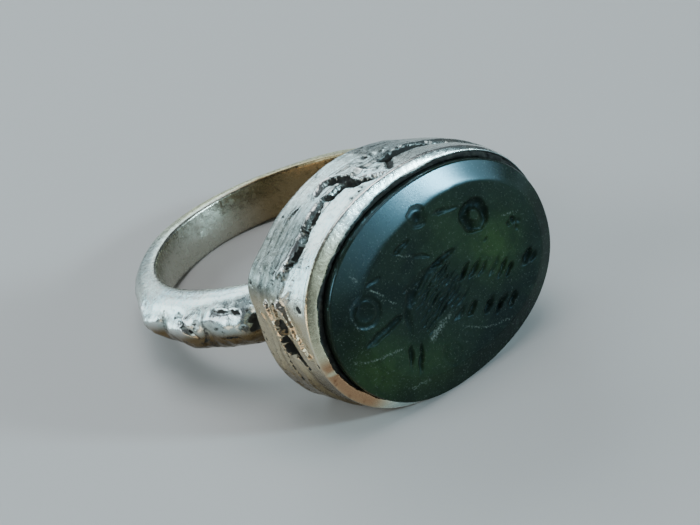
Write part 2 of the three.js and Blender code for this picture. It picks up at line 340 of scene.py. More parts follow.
# Torn cracks in the wall. Each place is a height along N, degrees round the oval and half the
# crack's width. Then come its depth, the height of the torn lip behind it and its darkness.
WALL_CRACKS = [
    ([(14.85, 147, 0.05), (15.2, 141, 0.13), (15.38, 133, 0.16), (15.22, 128, 0.14)], 0.36, 0.14, 0.8),
    ([(15.2, 129, 0.12), (14.66, 127, 0.05)], 0.2, 0.05, 0.9),
    ([(15.22, 128, 0.12), (15.08, 122, 0.17), (14.95, 115, 0.18), (14.7, 111, 0.18)], 0.27, 0.1, 0.66),
    ([(14.7, 111, 0.18), (14.93, 107.5, 0.23), (14.9, 103.5, 0.25), (14.85, 99, 0.29)], 0.42, 0.15, 0.85),
    (
        [(14.85, 99, 0.36), (15.7, 98, 0.38), (16.15, 95.2, 0.32), (16.7, 93, 0.22), (17.05, 91, 0.1)],
        0.55, 0.2, 0.95,
    ),
    (
        [
            (14.6, 97.5, 0.24), (14.05, 99.8, 0.34), (13.65, 101.8, 0.32), (13.5, 104, 0.25),
            (13.8, 109.5, 0.1),
        ],
        0.34, 0.16, 0.75,
    ),
    ([(15.3, 82, 0.25), (15.9, 84, 0.3), (16.4, 86, 0.26), (16.9, 87, 0.15)], 0.16, 0.06, 0.8),
    ([(15.1, 83.5, 0.3), (14.9, 79, 0.4), (14.8, 74.2, 0.42), (14.8, 68, 0.42)], 0.42, 0.0, 1.0),
    (
        [(14.8, 68, 0.42), (14.9, 62, 0.42), (15.1, 55, 0.36), (15.4, 46, 0.26), (15.7, 38, 0.1)],
        0.36, 0.0, 1.0,
    ),
    ([(14.1, 165, 0.06), (14.35, 170, 0.2), (14.5, 175, 0.28), (14.5, 178, 0.12)], 0.34, 0.1, 1.0),
    ([(14.35, 180, 0.16), (14.6, 184, 0.3), (15.0, 190, 0.22), (15.4, 195, 0.1)], 0.38, 0.12, 1.0),
    ([(13.1, 118, 0.06), (12.9, 123, 0.04)], 0.12, 0.05, 0.7),
    ([(13.6, 188, 0.05), (13.5, 196, 0.12), (13.6, 206, 0.06)], 0.2, 0.06, 0.55),
    ([(14.5, 205, 0.05), (14.3, 213, 0.1), (14.2, 222, 0.05)], 0.15, 0.05, 0.4),
    ([(14.7, 350, 0.05), (14.9, 338, 0.14), (14.6, 326, 0.16), (14.7, 315, 0.05)], 0.28, 0.12, 0.8),
    ([(14.8, 292, 0.05), (14.6, 283, 0.1), (14.75, 272, 0.04)], 0.18, 0.08, 0.6),
    ([(14.9, 20, 0.04), (14.6, 14, 0.13), (14.8, 6, 0.06)], 0.22, 0.12, 0.7),
]
# Folded ridges of the wall: places with half widths, then their height.
WALL_RIDGES = [
    (
        [(14.6, 162, 0.1), (15.07, 168.8, 0.19), (15.5, 174, 0.21), (15.95, 180, 0.21), (16.75, 185.5, 0.18)],
        0.3,
    ),
    (
        [(13.4, 164, 0.1), (13.65, 171.5, 0.2), (14.05, 176, 0.22), (14.15, 181, 0.18), (14.5, 188, 0.1)],
        0.28,
    ),
    ([(12.4, 171, 0.08), (12.9, 178, 0.1), (12.7, 190, 0.1), (12.3, 203, 0.1)], 0.12),
    ([(14.3, 176, 0.12), (14.8, 165, 0.16), (15.15, 158, 0.16), (15.6, 147, 0.14), (15.75, 139, 0.1)], 0.09),
    ([(14.3, 150, 0.16), (14.75, 140, 0.2), (14.85, 131, 0.2), (14.7, 122, 0.16), (14.4, 114, 0.12)], 0.14),
    ([(13.0, 106, 0.1), (13.1, 98, 0.16), (13.5, 93, 0.16), (14.0, 90, 0.18)], 0.1),
    ([(14.2, 93, 0.2), (15.0, 91, 0.24), (15.6, 89.5, 0.2)], 0.14),
]
# Pits in the wall: height, degrees, radius, depth and darkness.
WALL_PITS = [
    (16.43, 163.5, 0.3, 0.05, 0.7),
    (16.7, 142.2, 0.08, 0.08, 0.7),
    (15.77, 112, 0.12, 0.04, 0.3),
    (16.75, 105.5, 0.16, 0.08, 0.65),
    (16.9, 103.5, 0.14, 0.08, 0.6),
    (16.75, 101.5, 0.18, 0.08, 0.7),
    (16.55, 99.4, 0.16, 0.08, 0.6),
    (17.1, 108.5, 0.09, 0.06, 0.6),
    (13.57, 85.5, 0.2, 0.14, 0.9),
    (13.6, 82.5, 0.22, 0.14, 0.9),
    (13.85, 79, 0.18, 0.12, 0.8),
    (13.4, 76, 0.14, 0.08, 0.6),
    (12.7, 150, 0.14, 0.07, 0.35),
    (17.0, 190, 0.14, 0.1, 0.8),
]
# Pits in the hoop's outer face: turn and lean in degrees, radius, depth and darkness.
HOOP_PITS = [
    (-136.0, 12, 0.75, 0.62, 1.0),
    (-134.5, -8, 0.45, 0.3, 1.0),
    (-131, 2, 0.26, 0.14, 0.5),
    (-126.8, 53, 0.26, 0.08, 0.5),
    (-130.3, 43, 0.24, 0.1, 0.55),
    (-133.4, 38, 0.3, 0.14, 0.6),
    (-128.6, 47, 0.2, 0.08, 0.4),
    (-112.6, 19, 0.26, 0.1, 0.6),
    (-111.9, 10, 0.2, 0.12, 0.55),
    (-113.4, 26, 0.14, 0.08, 0.4),
    (-121.5, 8, 0.3, 0.1, 0.6),
    (-124.0, -2, 0.24, 0.1, 0.5),
    (-118.5, 13, 0.2, 0.08, 0.4),
    (-96, 20, 0.2, 0.08, 0.3),
    (-60, 20, 0.3, 0.07, 0.3),
    (20, -10, 0.3, 0.08, 0.4),
    (70, 15, 0.26, 0.1, 0.5),
    (118, 25, 0.35, 0.14, 0.7),
    (134, -10, 0.5, 0.3, 0.9),
]
# Cracks of the hoop, as those of the wall, with turn and lean as their places.
HOOP_CRACKS = [
    (
        [(-104, 44, 0.05), (-105.4, 34, 0.15), (-107, 21, 0.14), (-110, 4, 0.17), (-113.6, -14, 0.07)],
        0.36, 0.06, 0.95,
    ),
    ([(-105.6, 36, 0.1), (-102.6, 29, 0.04)], 0.16, 0.0, 0.9),
    ([(-121.5, 50, 0.05), (-124.5, 44, 0.14), (-128, 42, 0.12), (-131, 34, 0.1)], 0.14, 0.05, 0.75),
    ([(-115.8, -12, 0.05), (-114.4, -30, 0.09), (-112.2, -42, 0.04)], 0.22, 0.05, 0.8),
    ([(-130, -22, 0.04), (-126, -16, 0.1), (-121, -20, 0.04)], 0.16, 0.04, 0.6),
    ([(95, 30, 0.03), (97, 5, 0.09), (95, -20, 0.04)], 0.2, 0.05, 0.8),
]


# How far torn edges wander across and along the surface, and how ragged they are, in millimetres
TORN_WANDER = (0.09, 0.12)
TORN_RAGGED = 0.075


def route_of(line, as_place):
    """A line's places in millimetres, each with its half width."""
    return [np.append(as_place(one, two), width) for one, two, width in line]


def marks(places, coarse, cracks, folds, pits, as_place):
    """How far a surface stands out at places in millimetres, how dirty it is and how worn.
    The torn edges wander a little with noise that is taken at the points in space."""
    shaken = places.copy()
    for axis, wander, seed in ((0, TORN_WANDER[0], 20), (1, TORN_WANDER[1], 23)):
        shaken[..., axis] += wander * grain(coarse, 0.6, seed, 3)
        shaken[..., axis] += TORN_RAGGED * grain(coarse, 0.24, seed + 1, 2)
    size = places.shape[:-1]
    grime, worn, cut, lip_height, lip_side = (np.zeros(size) for _ in range(5))
    nearest = np.full(size, 1e9)
    broken = grain(coarse, 0.8, 27, 3)
    bits = ramp(grain(coarse, 0.34, 29, 2), 0.15, 0.55)
    # The cracks are cut as one, so that where two meet there is no edge between them
    for line, depth, lip, dark in cracks:
        share, distance, side = near_line(shaken, route_of(line, as_place))
        edge = distance - distance / np.maximum(share, 1e-6)
        cut = np.maximum(cut, depth * ramp(share, 1.3, 0.5) * (1 + 0.2 * broken))
        nearer = edge < nearest
        nearest = np.where(nearer, edge, nearest)
        lip_height = np.where(nearer, lip, lip_height)
        lip_side = np.where(nearer, side, lip_side)
        grime = np.maximum(grime, ramp(share, 1.25, 0.7) * (1 - 2.5 * (1 - dark) * bits))
    # The torn lip stands up along the nearest crack, mostly on its rear side
    behind = mix(0.25, 1.0, ramp(lip_side, 0.12, -0.12))
    uneven = np.clip(0.7 + 0.4 * grain(coarse, 1.6, 28, 2), 0.2, 1.2)
    lift = lip_height * bell(nearest - 0.16, 0.17) * behind * uneven
    push = lift - cut
    worn = np.maximum(worn, ramp(lift, 0.03, 0.12))
    for line, height in folds:
        share, _, _ = near_line(shaken, route_of(line, as_place))
        push += height * bell(share, 1.1)
        worn = np.maximum(worn, ramp(height * bell(share, 1.1), 0.06, 0.2))
    for one, two, radius, depth, dark in pits:
        distance = np.linalg.norm(shaken - as_place(one, two), axis=-1)
        push -= depth * bell(distance, radius)
        grime = np.maximum(grime, dark * ramp(distance, radius * 1.25, radius * 0.5))
    return push, grime, worn


def wall_relief(n, degrees, points):
    """How far the wall's surface stands out, how dirty it is and how worn its high spots are."""
    places = wall_place(n, degrees)
    push, grime, worn = marks(places, points, WALL_CRACKS, WALL_RIDGES, WALL_PITS, wall_place)
    edge = collar_edge(degrees)
    rear = ramp(n, edge + 0.15, edge - 0.35) * ramp(n, 11.0, 11.8)
    wave = 0.12 * grain(points, 3.0, 14, 2)
    streaks = np.stack([n + wave, degrees * 0.012, n * 0], axis=-1)
    wrinkle = 1 - 2 * np.abs(grain(streaks, 0.5, 3, 2))
    fine = grain(np.stack([n + wave, degrees * 0.02, n * 0], axis=-1), 0.17, 4, 2)
    low = ramp(np.abs(turned(degrees, 195)), 60, 25)
    # Scratches round the rear wall, dents, deeper dents low down, and a slight swell all over
    push += (0.016 * wrinkle + 0.008 * fine) * rear
    push += 0.045 * grain(points, 1.9, 5, 3) * mix(rear, 1, 0.2)
    push += 0.05 * grain(points, 1.8, 6, 2) * low
    push += 0.09 * grain(points, 4.5, 1, 2)
    push += 0.006 * grain(points, 0.5, 9, 3) * (1 - rear)
    # Small corroded specks, mostly on the rear wall
    speck = ramp(grain(points, 0.42, 12, 2), 0.7, 0.95) * mix(rear, 1, 0.12)
    push -= 0.05 * speck
    grime = np.maximum(grime, 0.6 * speck)
    grime = np.maximum(grime, 0.1 * ramp(wrinkle, -0.5, -0.98) * rear)
    worn = np.maximum(worn, 0.14 * ramp(wrinkle, 0.5, 0.95) * rear)
    return push, grime, worn


def hoop_relief(turn, lean, points):
    """The same for the hoop's outer face, which is rougher below its upper edge."""
    places = hoop_place(turn, lean)
    push, grime, worn = marks(places, points, HOOP_CRACKS, [], HOOP_PITS, hoop_place)
    below = ramp(lean, 62, 36)
    shoulder = ramp(np.abs(turn), 60, 85)
    # Corroded lumps, larger on the shoulders, with dark valleys between the mouldings
    push += 0.14 * grain(points, 1.2, 31, 2) * below * mix(0.45, 1, shoulder)
    push += 0.04 * grain(points, 0.55, 33, 2) * below
    push += 0.03 * grain(points, 2.2, 35, 2)
    valley = np.abs(np.cos(np.pi * (np.abs(turn) - RIDGE_START) / RIDGE_PITCH))
    grime = np.maximum(grime, 0.55 * ramp(valley, 0.3, 0.0) * below * shoulder)
    speck = ramp(grain(points, 0.42, 37, 2), 0.6, 0.9) * below
    push -= 0.05 * speck
    grime = np.maximum(grime, 0.5 * speck)
    worn = np.maximum(worn, ramp(push, 0.03, 0.14) * below)
    return push, grime, worn


def faces_of_rows(rows, count, is_loop):
    """Four-sided faces between rows of count points each."""
    band = np.arange(rows if is_loop else rows - 1)[:, None]
    step = np.arange(count)[None, :]
    here = band * count
    beyond = (band + 1) % rows * count
    other = (step + 1) % count
    corners = [here + step, here + other, beyond + other, beyond + step]
    return np.stack(np.broadcast_arrays(*corners), axis=-1).reshape(-1, 4)


def closed_rows(rows):
    """Points and faces of rows with equally many points, closed by one face at either end."""
    points = np.concatenate(rows)
    count = len(rows[0])
    faces = faces_of_rows(len(rows), count, False).tolist()
    bottom = list(range(count))[::-1]
    top = list(range(len(points) - count, len(points)))
    return points, faces + [bottom, top]


def add_object(name, data):
    made = bpy.data.objects.new(name, data)
    bpy.context.scene.collection.objects.link(made)
    return made


def mesh_object(name, points, faces):
    mesh = bpy.data.meshes.new(name)
    mesh.from_pydata(points.tolist(), [], faces)
    mesh.update()
    return add_object(name, mesh)


def pushed(points, push):
    """Moves the wall's points straight out from the bezel's middle line."""
    out = points[..., 1:] / (np.linalg.norm(points[..., 1:], axis=-1, keepdims=True) + 1e-9)
    moved = points.copy()
    moved[..., 1:] += out * push[..., None]
    return moved


def fine_columns():
    """Degrees round the bezel, closer together where the wall is torn."""
    even = np.linspace(0, 1, WALL_COLUMNS + 1)[:-1]
    gathered = np.sin(2 * np.pi * (even - GATHER_AT)) + np.sin(2 * np.pi * GATHER_AT)
    return 360 * even - GATHER_BY * gathered


# The rim's section: share of its width, and how far it falls there as a share of RIM_FALL
RIM_SECTION = [
    (0.0, 1.0), (0.03, 0.86), (0.1, 0.74), (0.25, 0.56),
    (0.45, 0.34), (0.65, 0.16), (0.82, 0.03), (0.94, 0.06),
]


def bezel_shell():
    """The bezel box: its underside, wall and rim, the dirt beside the stone and the stone's seat."""
    degrees = fine_columns() % 360
    under = np.linspace(BEZEL_UNDERSIDE, BEZEL_BACK, UNDERSIDE_ROWS + 1)[:-1]
    heights = np.concatenate([under, np.linspace(BEZEL_BACK, WALL_TOP - 0.06, WALL_ROWS)])
    grid_n, grid_degrees = np.meshgrid(heights, degrees, indexing="ij")
    wall = wall_point(grid_n, grid_degrees)
    push, _, _ = wall_relief(grid_n, grid_degrees, wall)
    push = push * ramp(grid_n, WALL_TOP - 0.04, WALL_TOP - 0.45)
    rows = list(pushed(wall, push))
    width = rim_width(degrees)
    wobble = 0.016 * grain(rim_point(degrees, 0, 0), 1.6, 50, 2)
    for share, fall in RIM_SECTION:
        inset = RIM_START + share * rim_width(degrees, share**3)
        rows.append(rim_point(degrees, inset, RIM_FALL * fall + wobble))
    rows.append(rim_point(degrees, RIM_START + width, DIRT_DEPTH / 2))
    inner = rim_point(degrees, RIM_START + width + 0.05, DIRT_DEPTH)
    rows.append(inner)
    seat = stone_point(BEZEL_FRONT - DIRT_DEPTH, degrees, 1.0, -SEAT_CLEARANCE)
    for share in (0.2, 0.4, 0.6, 0.8):
        dirt = mix(inner, seat, share)
        dirt[..., 0] += DIRT_ROUGHNESS * (grain(dirt, 0.45, 52, 2) + 0.5)
        rows.append(dirt)
    rows.append(seat)
    floor = BEZEL_FRONT - SEAT_DEPTH
    for share in (0.5, 1.0):
        narrow = SEAT_TAPER * share - SEAT_CLEARANCE
        rows.append(stone_point(mix(BEZEL_FRONT, floor, share), degrees, 1.0, narrow))
    return closed_rows(rows)


def edge_rows(start, end, swell):
    """Rows across the hoop's narrow edge, between its two faces."""
    shares = np.array([0.15, 0.35, 0.6, 0.85])[None, :, None]
    rows = mix(start[:, None, :], end[:, None, :], shares)
    rows[..., 2] += swell * (1 - (2 * shares[..., 0] - 1) ** 2) + 0.012 * grain(rows, 0.7, 44, 2)
    return rows


# Pits in the finger hole: turn, place across the hoop, radius and depth.
INNER_PITS = [(-8, 0.3, 0.28, 0.1), (62, 0.2, 0.22, 0.08), (30, -0.6, 0.3, 0.06), (-60, 0.5, 0.2, 0.07)]


def hoop_shell():
    """The hoop as a closed band, worn and pitted outside and smoother inside."""
    turns = np.linspace(-180, 180, HOOP_TURNS + 1)[:-1]
    leans = np.linspace(-90, 90, HOOP_LEANS)
    grid_turn, grid_lean = np.meshgrid(turns, leans, indexing="ij")
    outer = hoop_point(grid_turn, grid_lean)
    push, _, _ = hoop_relief(grid_turn, grid_lean, outer)
    push = push * ramp(np.abs(grid_lean), 89, 74)
    radial = outer * (1, 1, 0)
    radial /= np.linalg.norm(radial, axis=-1, keepdims=True)
    lean = np.radians(grid_lean)[..., None]
    outer = outer + (radial * np.cos(lean) + np.array([0, 0, 1.0]) * np.sin(lean)) * push[..., None]
    sides = np.linspace(1, -1, HOOP_INNER_ROWS)
    half_width, _ = hoop_sizes(turns)
    radius = hole_radius(turns)[:, None] - INNER_BARREL * (1 - sides[None, :] ** 2)
    angle = np.radians(turns)[:, None]
    a = half_width[:, None] * sides[None, :] - trimmed(turns[:, None], sides[None, :])
    inner = np.stack([-radius * np.cos(angle), radius * np.sin(angle), a], -1)
    dent = 0.035 * grain(inner, 1.8, 40, 3) * (1 - sides[None, :] ** 6)
    for turn, side, wide, deep in INNER_PITS:
        across, along = math.cos(math.radians(turn)), math.sin(math.radians(turn))
        centre = np.array([-HOLE_RADIUS * across, HOLE_RADIUS * along, side])
        dent += deep * bell(np.linalg.norm(inner - centre, axis=-1), wide)
    inner = inner * (1 + dent[..., None] / HOLE_RADIUS * (1, 1, 0))
    upper = edge_rows(outer[:, -1], inner[:, 0], 0.05)
    lower = edge_rows(inner[:, -1], outer[:, 0], -0.05)
    grid = np.concatenate([outer, upper, inner, lower], axis=1)
    rows, count = grid.shape[:2]
    return grid.reshape(-1, 3), faces_of_rows(rows, count, True).tolist()


def read(items, name, width=1, kind=np.int32):
    """One property of all of a mesh's points, edges, corners or faces."""
    values = np.zeros(len(items) * width, kind)
    items.foreach_get(name, values)
    return values


def points_of(mesh):
    return read(mesh.vertices, "co", 3, np.float32).reshape(-1, 3).astype(float)


def set_points(mesh, points):
    mesh.vertices.foreach_set("co", points.astype(np.float32).ravel())
    mesh.update()


def set_attributes(mesh, **shares):
    """Gives each point of the mesh named shares from 0 to 1, which the materials read."""
    for name, values in shares.items():
        attribute = mesh.attributes.new(name, "FLOAT", "POINT")
        attribute.data.foreach_set("value", np.clip(values, 0, 1).astype(np.float32))


def cut_many_sided(mesh):
    """Cuts the many-sided faces that the union leaves along the joint into triangles."""
    shape = bmesh.new()
    shape.from_mesh(mesh)
    many_sided = [face for face in shape.faces if 4 < len(face.verts) < WALL_COLUMNS]
    bmesh.ops.triangulate(shape, faces=many_sided)
    shape.to_mesh(mesh)
    shape.free()


def fused(hoop, bezel, name):
    """Joins the hoop and the bezel into one closed mesh. Material 1 marks the bezel's faces."""
    for index in (0, 1):
        hoop.data.materials.append(bpy.data.materials.new("mark"))
        bezel.data.materials.append(hoop.data.materials[index])
    bezel.data.polygons.foreach_set("material_index", np.ones(len(bezel.data.polygons), np.int32))
    join = hoop.modifiers.new("join", "BOOLEAN")
    join.operation = "UNION"
    join.solver = "MANIFOLD"
    join.object = bezel
    evaluated = hoop.evaluated_get(bpy.context.evaluated_depsgraph_get())
    mesh = bpy.data.meshes.new_from_object(evaluated)
    mesh.name = name
    cut_many_sided(mesh)
    for shell in (hoop, bezel):
        bpy.data.objects.remove(shell)
    return add_object(name, mesh)


def sides_of(mesh):
    """Which points lie on the bezel and which on the hoop. Those on the joint lie on both."""
    corners = read(mesh.loops, "vertex_index")
    corner_marks = np.repeat(read(mesh.polygons, "material_index"), read(mesh.polygons, "loop_total"))
    on_bezel = np.zeros(len(mesh.vertices), bool)
    on_hoop = np.zeros(len(mesh.vertices), bool)
    on_bezel[corners[corner_marks == 1]] = True
    on_hoop[corners[corner_marks == 0]] = True
    return on_bezel, on_hoop


# How many edges away from its line the joint is rounded, how fast that fades, and in how many rounds
JOINT_REACH = 4
JOINT_FADE = 0.8
JOINT_ROUNDS = 6


def smooth_joint(mesh, joint):
    """Rounds the corner where the hoop is soldered to the wall, and returns how near each point is."""
    edges = read(mesh.edges, "vertices", 2).reshape(-1, 2)
    start, end = np.concatenate([edges, edges[:, ::-1]]).T
    near = joint.astype(float)
    for _ in range(JOINT_REACH):
        spread = near.copy()
        np.maximum.at(spread, start, near[end] * JOINT_FADE)
        near = spread
    counts = np.bincount(start, minlength=len(near))[:, None]
    points = points_of(mesh)
    for _ in range(JOINT_ROUNDS):
        total = [np.bincount(start, points[end, axis], len(points)) for axis in range(3)]
        points += (np.stack(total, axis=1) / counts - points) * (0.5 * near)[:, None]
    set_points(mesh, points)
    return near


# Where the ring's own frame lies among the solids
REST_TILT = math.atan2(-HOOP_WIDTH_BACK / 2 + RIM_SHORT, BEZEL_FRONT + HOLE_RADIUS + HOOP_EDGE)
N_AXIS = np.array([math.cos(REST_TILT), 0, math.sin(REST_TILT)])
T_AXIS = np.array([0, 1, 0])
A_AXIS = np.array([-math.sin(REST_TILT), 0, math.cos(REST_TILT)])
TO_WORLD = np.stack([N_AXIS, T_AXIS, A_AXIS])


def hole_centre():
    """The origin of the ring's own frame, in millimetres, from where the solids lie."""
    stone_solid = points_of(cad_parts["seal_stone"].data) / MM @ TO_WORLD.T
    silver_solid = points_of(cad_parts["silver_body"].data) / MM @ TO_WORLD.T
    own = [silver_solid[:, 0].max() - BEZEL_FRONT]
    own += [(stone_solid[:, axis].min() + stone_solid[:, axis].max()) / 2 for axis in (1, 2)]
    return np.array(own) @ TO_WORLD


HOLE_CENTRE = hole_centre()


def lay_down(mesh):
    """Turns a finished mesh from the ring's own frame to its place among the solids, in metres."""
    points = points_of(mesh) @ TO_WORLD + HOLE_CENTRE
    points[:, 2] = np.maximum(points[:, 2], 0)
    set_points(mesh, points * MM)


def oval_degrees(t, a, lift):
    """Degrees round the oval of points at t and a."""
    power = OVAL_SQUARENESS / 2
    up = signed_power((a - lift) / RIM_SHORT, power)
    return np.degrees(np.arctan2(up, signed_power(t / RIM_LONG, power))) % 360


def inset_of(points, degrees):
    """How far inside the rim's outer edge each point is."""
    outer = rim_point(degrees, 0.0, 0.0)
    return np.linalg.norm(outer[:, 1:], axis=1) - np.linalg.norm(points[:, 1:], axis=1)


def mark_silver(mesh, bezel_part, near_joint):
    """Works out where the silver is dirty, tarnished, coppery, dull or worn, and where warm shade is painted
    on its undersides, from each point's place.
    """
    points = points_of(mesh)
    n, t, a = points.T
    degrees = oval_degrees(t, a, BACK_LIFT * (1 - height_share(n)))
    turn = np.degrees(np.arctan2(t, -n))
    radius = np.hypot(n, t)
    lean = np.degrees(np.arcsin(hoop_side(turn, a)))
    inside = ramp(radius - hole_radius(turn), 0.45, 0.12)
    _, wall_grime, wall_worn = wall_relief(n, degrees, points)
    _, hoop_grime, hoop_worn = hoop_relief(turn, lean, points)
    wall_part = bezel_part * ramp(n, WALL_TOP + 0.02, WALL_TOP - 0.12)
    hoop_part = (1 - bezel_part) * (1 - inside)
    # The front, with its rim and the dirt beside the stone
    across = inset_of(points, degrees)
    front = bezel_part * ramp(n, BEZEL_FRONT - 2.4, BEZEL_FRONT - 2.2)
    dirt = front * ramp(across, rim_width(degrees), rim_width(degrees) + 0.09)
    rim = front * (1 - dirt) * (1 - wall_part)
    copper = ramp(degrees, 184, 192) * ramp(degrees, 236, 222) * ramp(n, 16.9, 17.35)
    copper = copper * ramp(grain(points, 1.1, 80, 3), -0.75, -0.2)
    # Black dirt in the cracks, in the pits and along the joint
    grime = np.maximum(wall_grime * wall_part, hoop_grime * hoop_part)
    grime = np.maximum(grime, 0.75 * ramp(near_joint, 0.35, 0.95) * (1 - inside))
    grime = grime * (1 - dirt)
    # Painted warm shade on the undersides of the hoop and the wall, beige on the lower wall, and tarnish on
    # the rear wall, at the back and on the hoop's upper edge
    under = np.maximum(hoop_part * ramp(a, 0.5, -0.7), 0.8 * wall_part * ramp(a, -1.0, -3.6))
    low_wall = wall_part * ramp(np.abs(turned(degrees, 212)), 56, 40)
    edge = collar_edge(degrees)
    rear = wall_part * ramp(n, edge + 0.1, edge - 0.3)
    near_left = ramp(np.abs(turned(degrees, 180)), 66, 38)
    top_edge = (1 - bezel_part) * ramp(lean, 66, 80) * ramp(turn, -40, 0)
    far_back = 0.7 * hoop_part * ramp(turn, -74, -52) * ramp(turn, 100, 60)
    # Where the rim's outer corner and the high spots are rubbed bright
    corner = bezel_part * bell(across - 0.05, 0.05) * ramp(n, BEZEL_FRONT - 0.6, BEZEL_FRONT - 0.35)
    worn = np.maximum(wall_worn * wall_part, hoop_worn * hoop_part)
    set_attributes(
        mesh,
        grime=grime,
        dirt=dirt,
        copper=copper * bezel_part,
        # The undersides get painted warm shade
        rust=np.maximum(under, 0),
        tarnish=inside * (1 - bezel_part),
        beige=np.maximum(low_wall, 0.35 * rim * near_left),
        yellow=np.maximum(0.9 * top_edge, 0.75 * rim * near_left),
        dull=np.maximum(rear * mix(0.4, 1, ramp(degrees, 108, 130)), far_back),
        back=ramp(turn, 30, -4),
        worn=np.maximum(worn, corner * (1 - dirt)),
    )


def build_silver():
    """The ring of silver: its two shells as one mesh, with the joint rounded."""
    hoop = mesh_object("hoop_shell", *hoop_shell())
    bezel = mesh_object("bezel_shell", *bezel_shell())
    made = fused(hoop, bezel, "worn_silver_ring")
    mesh = made.data
    on_bezel, on_hoop = sides_of(mesh)
    near_joint = smooth_joint(mesh, on_bezel & on_hoop)
    mark_silver(mesh, on_bezel.astype(float), near_joint)
    mesh.polygons.foreach_set("material_index", np.zeros(len(mesh.polygons), np.int32))
    mesh.shade_smooth()
    lay_down(mesh)
    return made


# The engraving, in millimetres on the stone's face. Each wheel cut is a boat-shaped hollow:
# its middle, half length, half width, turn in degrees and depth. A ring's row has its middle,
# radius, half width and depth.
RINGS = [
    (4.16, 2.44, 0.8, 0.4, 0.24),
    (-5.95, 0.75, 0.95, 0.26, 0.07),
    (0.15, 4.5, 0.5, 0.3, 0.1),
    (-1.1, -5.2, 0.62, 0.24, 0.05),
]
CUTS = [
    (0.15, 4.5, 0.5, 0.42, 0, 0.16),
    (6.8, 0.6, 0.3, 0.26, 0, 0.2),
    (6.9, 0.05, 0.24, 0.22, 0, 0.16),
    (6.35, 0.5, 0.2, 0.2, 0, 0.1),
    (7.2, 0.35, 0.24, 0.2, 0, 0.14),
    (4.3, 0.5, 0.2, 0.12, 20, 0.12),
    (-6.1, 0.7, 0.8, 0.7, 30, 0.08),
    (-1.1, -5.2, 0.5, 0.42, 0, 0.07),
]


def stroke(start, end, half_width, depth):
    """A straight wheel cut from start to end."""
    run = [end[k] - start[k] for k in range(2)]
    turn = math.degrees(math.atan2(run[1], run[0]))
    half_length = math.hypot(*run) / 2 + half_width * 0.4
    return ((start[0] + end[0]) / 2, (start[1] + end[1]) / 2, half_length, half_width, turn, depth)


def stroke_row(first, last, lean, count, half_width, depth):
    """Slanting strokes side by side, from one foot to the last, each a little unlike the next."""
    cuts = []
    for k in range(count):
        shake = lattice(np.array([[k, count, i] for i in range(4)]), 90).tolist()
        foot = [mix(first[i], last[i], k / (count - 1)) + 0.6 * half_width * shake[i] for i in range(2)]
        tip = [foot[i] + lean[i] * (1 + 0.3 * shake[2]) for i in range(2)]
        cuts.append(stroke(foot, tip, half_width, depth * (1 + 0.35 * shake[3])))
    return cuts


# Single strokes: start, end, half width and depth.
STROKES = [
    ((1.2, 4.2), (3.3, 3.55), 0.2, 0.14),
    ((-2.5, 3.25), (-1.1, 3.45), 0.26, 0.22),
    ((-1.3, 2.3), (-0.1, 1.75), 0.16, 0.16),
    ((-0.5, 0.85), (1.8, 1.15), 0.26, 0.22),
    ((-2.9, 0.5), (0.6, 0.9), 0.34, 0.1),
    ((-3.1, -0.8), (-1.7, 0.9), 0.4, 0.12),
    ((-5.3, 2.3), (-4.1, 2.35), 0.2, 0.14),
    ((-6.9, -1.4), (-3.6, -0.85), 0.34, 0.2),
    ((-3.0, -0.4), (-3.6, -2.6), 0.3, 0.12),
    ((-3.75, -3.0), (-4.45, -4.5), 0.24, 0.2),
    ((-3.0, -3.4), (-3.9, -5.3), 0.2, 0.18),
    ((6.3, -2.6), (7.3, -1.9), 0.34, 0.26),
    ((6.9, -2.7), (7.7, -2.3), 0.2, 0.16),
    ((-0.1, -3.3), (1.2, -2.65), 0.2, 0.14),
]
# Rows of strokes: first and last foot, lean, number, half width and depth. The finer rows hatch
# the body.
STROKE_ROWS = [
    ((1.5, -0.9), (4.9, -2.55), (1.05, 0.66), 6, 0.2, 0.24),
    ((0.1, -3.3), (4.3, -4.7), (1.05, 0.66), 5, 0.24, 0.26),
    ((-2.5, 0.3), (-1.3, -2.5), (1.9, 0.95), 10, 0.12, 0.1),
    ((-0.7, 0.6), (0.1, -2.7), (1.5, 0.75), 11, 0.1, 0.09),
    ((-2.9, -0.8), (-2.2, -3.2), (1.0, 0.5), 7, 0.09, 0.06),
]
CUTS += [stroke(*row) for row in STROKES]
for row in STROKE_ROWS:
    CUTS += stroke_row(*row)


def engraved_depth(t, a):
    """Depth of the engraving at points of the face, and how far inside a cut each is."""
    places = np.stack([t, a, a * 0], axis=-1)
    t = t + 0.07 * grain(places, 0.55, 70, 2)
    a = a + 0.07 * grain(places, 0.55, 73, 2)
    rubbed = np.clip(0.75 + 0.5 * grain(places, 0.9, 76, 2), 0.25, 1.15)
    depth = np.zeros(len(t))
    inside = np.zeros(len(t))
    for centre_t, centre_a, half_length, half_width, turn, deep in CUTS:
        cos, sin = math.cos(math.radians(turn)), math.sin(math.radians(turn))
        along = (t - centre_t) * cos + (a - centre_a) * sin
        across = (a - centre_a) * cos - (t - centre_t) * sin
        reach = np.hypot(along / half_length, across / half_width)
        depth = np.maximum(depth, deep * np.clip(1 - reach**2, 0, 1) ** 0.9)
        inside = np.maximum(inside, ramp(reach, 1.6, 0.4) * min(1, deep / 0.14))
    for centre_t, centre_a, radius, half_width, deep in RINGS:
        reach = np.abs(np.hypot(t - centre_t, a - centre_a) - radius) / half_width
        depth = np.maximum(depth, deep * np.clip(1 - reach**2, 0, 1) ** 0.9)
        inside = np.maximum(inside, ramp(reach, 1.5, 0.4) * min(1, deep / 0.18))
    return depth * rubbed, inside * rubbed


